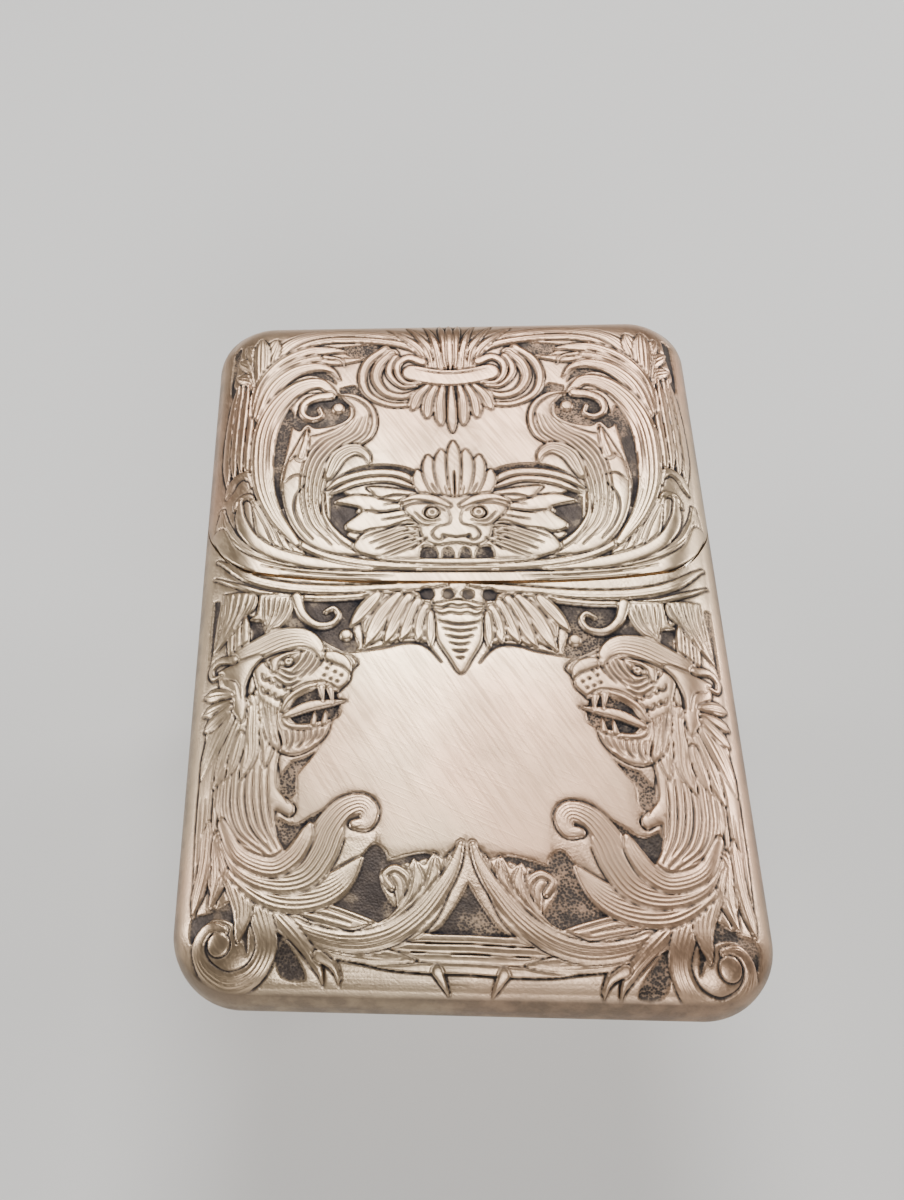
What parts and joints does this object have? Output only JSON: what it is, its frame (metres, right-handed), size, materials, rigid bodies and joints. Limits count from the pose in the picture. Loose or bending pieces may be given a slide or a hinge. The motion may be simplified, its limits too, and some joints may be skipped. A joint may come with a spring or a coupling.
{
  "type": "needle case",
  "caption": "Flat pocket needle case in relief-struck silver, with a slanting mouth, a lid hinged across the back, an inner collar and a stepped rack for needle packets.",
  "frame": {"origin": "under the middle of the case's flat back, on the surface it lies on", "axes": "+Z out of the front face, +Y towards the lid's end, +X to the right seen from the front; the hinge runs along X"},
  "size_m": [0.041, 0.0616, 0.0082],
  "materials": {
    "struck_silver": "tarnished silver struck in relief, high spots polished by wear, ground oxidised dark",
    "plain_silver": "plain rolled silver with fine rub marks",
    "hinge_silver": "drawn silver tube and strip, dulled in the joints",
    "pin_wire": "hard drawn wire, filed at the ends",
    "rack_leather": "thin dyed leather over card, rubbed at the edges",
    "rack_board": "leather board, matt, with pressed fibres"
  },
  "bodies": {
    "case_body": {"body_front_shell": "struck_silver", "body_back_shell": "struck_silver", "body_collar": "plain_silver", "body_hinge_bearer": "hinge_silver", "body_knuckle_left": "hinge_silver", "body_knuckle_middle": "hinge_silver", "body_knuckle_right": "hinge_silver", "hinge_pin": "pin_wire", "rack_back_pad": "rack_leather", "rack_step_block": "rack_board", "rack_divider_1": "rack_board", "rack_divider_2": "rack_board", "rack_front_card": "rack_leather", "rack_side_strip_left": "rack_leather", "rack_side_strip_right": "rack_leather"},
    "lid": {"lid_front_shell": "struck_silver", "lid_back_shell": "struck_silver", "lid_hinge_bearer": "hinge_silver", "lid_knuckle_left": "hinge_silver", "lid_knuckle_right": "hinge_silver"}
  },
  "joints": [
    {"name": "lid_hinge", "type": "hinge", "parent": "case_body", "child": "lid", "pos_m": [0, 0.01605, 0.00085], "axis": [-1, 0, 0], "range_deg": [0, 100]}
  ]
}
